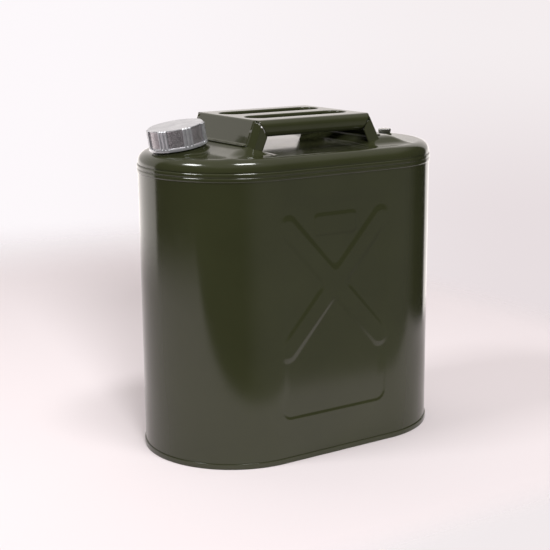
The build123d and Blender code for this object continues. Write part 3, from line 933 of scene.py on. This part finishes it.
def build_floor():
    """A pale sheet that fades out well away from the can."""
    corners = [(x * FLOOR_HALF, y * FLOOR_HALF, 0) for x, y in ((-1, -1), (1, -1), (1, 1), (-1, 1))]
    mesh = bpy.data.meshes.new("floor")
    mesh.from_pydata(corners, [], [(0, 1, 2, 3)])
    floor = bpy.data.objects.new("floor", mesh)
    bpy.context.scene.collection.objects.link(floor)
    material, tree, shader = node_material("floor_paper")
    shader.inputs["Base Color"].default_value = (0.80, 0.735, 0.752, 1)
    shader.inputs["Roughness"].default_value = 0.9
    shader.inputs["Specular IOR Level"].default_value = 0.1
    place = tree.nodes.new("ShaderNodeTexCoord")
    parts = tree.nodes.new("ShaderNodeSeparateXYZ")
    tree.links.new(place.outputs["Object"], parts.inputs[0])
    front = ranged(tree, parts.outputs["Y"], *FRONT_FADE, 0.0, 1.0)
    right = ranged(tree, parts.outputs["X"], *RIGHT_FADE, 1.0, 0.0)
    length = tree.nodes.new("ShaderNodeVectorMath")
    length.operation = "LENGTH"
    tree.links.new(place.outputs["Object"], length.inputs[0])
    far = ranged(tree, length.outputs["Value"], *FAR_FADE, 1.0, 0.0)
    shown = front
    for limit in (right, far):
        both = tree.nodes.new("ShaderNodeMath")
        both.operation = "MULTIPLY"
        tree.links.new(shown, both.inputs[0])
        tree.links.new(limit, both.inputs[1])
        shown = both.outputs[0]
    tree.links.new(shown, shader.inputs["Alpha"])
    mesh.materials.append(material)


def toward(azimuth, elevation):
    """A direction; azimuth is anticlockwise from +X, both in degrees."""
    a, e = math.radians(azimuth), math.radians(elevation)
    return Vector((math.cos(e) * math.cos(a), math.cos(e) * math.sin(a), math.sin(e)))


def place_light(name, data, way):
    """A light that shines from this direction."""
    light = bpy.data.objects.new(name, data)
    light.rotation_mode = "QUATERNION"
    light.rotation_quaternion = (-way).to_track_quat("-Z", "Y")
    bpy.context.scene.collection.objects.link(light)
    return light


def area_light(name, azimuth, elevation, power):
    """A softbox aimed at the can."""
    data = bpy.data.lights.new(name, "AREA")
    data.shape = "RECTANGLE"
    data.size, data.size_y = SOFTBOX_SIZE
    data.energy = power
    way = toward(azimuth, elevation)
    place_light(name, data, way).location = LIGHT_AIM + way * SOFTBOX_DISTANCE


# What the camera sees behind the can, with painted shade: lighter to the left, darker to the right,
# darkest in a band at the can's level.
BACKGROUND_LEFT = (0.982, 0.942, 0.965)
BACKGROUND_RIGHT = ((0.80, 0.73, 0.745), (0.905, 0.855, 0.865))     # level, above and below


def facing(tree, place, azimuth):
    """How far a direction points this way in plan, from -1 to 1."""
    flat = tree.nodes.new("ShaderNodeVectorMath")
    flat.operation = "DOT_PRODUCT"
    a = math.radians(azimuth)
    flat.inputs[1].default_value = (math.cos(a), math.sin(a), 0.0)
    tree.links.new(place.outputs["Generated"], flat.inputs[0])
    return flat.outputs["Value"]


def build_world():
    """Pale to look at, with painted shade: lighter to the left, darker to the right and most at the
    can's level; for light and reflections a white sweep behind and a dim room in front.
    """
    world = bpy.data.worlds.new("studio")
    world.use_nodes = True
    tree = world.node_tree
    tree.nodes.clear()
    place = tree.nodes.new("ShaderNodeTexCoord")
    parts = tree.nodes.new("ShaderNodeSeparateXYZ")
    tree.links.new(place.outputs["Generated"], parts.inputs[0])
    ahead = ranged(tree, facing(tree, place, -60), 0.6, 0.95, 0.02, 0.3)
    above = ranged(tree, parts.outputs["Z"], -0.14, -0.02, 0.0, 1.0)
    room = blend(tree, "FLOAT", above, ahead, 0.03)
    sweep = ranged(tree, facing(tree, place, 76), 0.51, 0.57, 0.0, 1.0)
    screen = ranged(tree, parts.outputs["Z"], -0.05, 0.08, 1.9, 1.0)
    around = blend(tree, "FLOAT", sweep, room, screen)
    high = ranged(tree, parts.outputs["Z"], 0.45, 0.8, 0.0, 1.0)
    lit = tree.nodes.new("ShaderNodeBackground")
    lit.inputs["Color"].default_value = (1.0, 0.935, 0.905, 1)
    tree.links.new(blend(tree, "FLOAT", high, around, 0.5), lit.inputs["Strength"])
    # Camera rays only: the backdrop's painted shade, lighter on the left and darker on the right.
    painted_backdrop = tree.nodes.new("ShaderNodeBackground")
    level = ranged(tree, parts.outputs["Z"], -0.18, -0.03, 0.0, 1.0)
    low = ranged(tree, parts.outputs["Z"], -0.28, -0.40, 0.0, 1.0)
    right = blend(tree, "RGBA", blend(tree, "FLOAT", low, level, 0.8), *BACKGROUND_RIGHT)
    leftward = ranged(tree, facing(tree, place, 145), -0.17, 0.24, 0.0, 1.0)
    tree.links.new(blend(tree, "RGBA", leftward, right, BACKGROUND_LEFT), painted_backdrop.inputs["Color"])
    path = tree.nodes.new("ShaderNodeLightPath")
    choose = tree.nodes.new("ShaderNodeMixShader")
    tree.links.new(path.outputs["Is Camera Ray"], choose.inputs[0])
    tree.links.new(lit.outputs[0], choose.inputs[1])
    tree.links.new(painted_backdrop.outputs[0], choose.inputs[2])
    out = tree.nodes.new("ShaderNodeOutputWorld")
    tree.links.new(choose.outputs[0], out.inputs[0])
    bpy.context.scene.world = world


def soft_key(azimuth, elevation, strength, spread):
    """A far, broad key light; it only lights and shades, the softboxes make the highlights."""
    data = bpy.data.lights.new("key", "SUN")
    data.energy = strength
    data.angle = math.radians(spread)
    place_light("key", data, toward(azimuth, elevation)).visible_glossy = False


build_wall()
build_seam()
build_rims()
build_lid()
build_neck()
build_collar()
build_cap()
build_vent()
build_handle()
paint_cad_nodes()

build_camera()
build_floor()
build_world()
area_light("over_front", -97, 68, 12)
area_light("over_left", -185, 50, 12)
soft_key(-108, 21, 2.6, 16)
bpy.context.scene.view_settings.view_transform = "Standard"
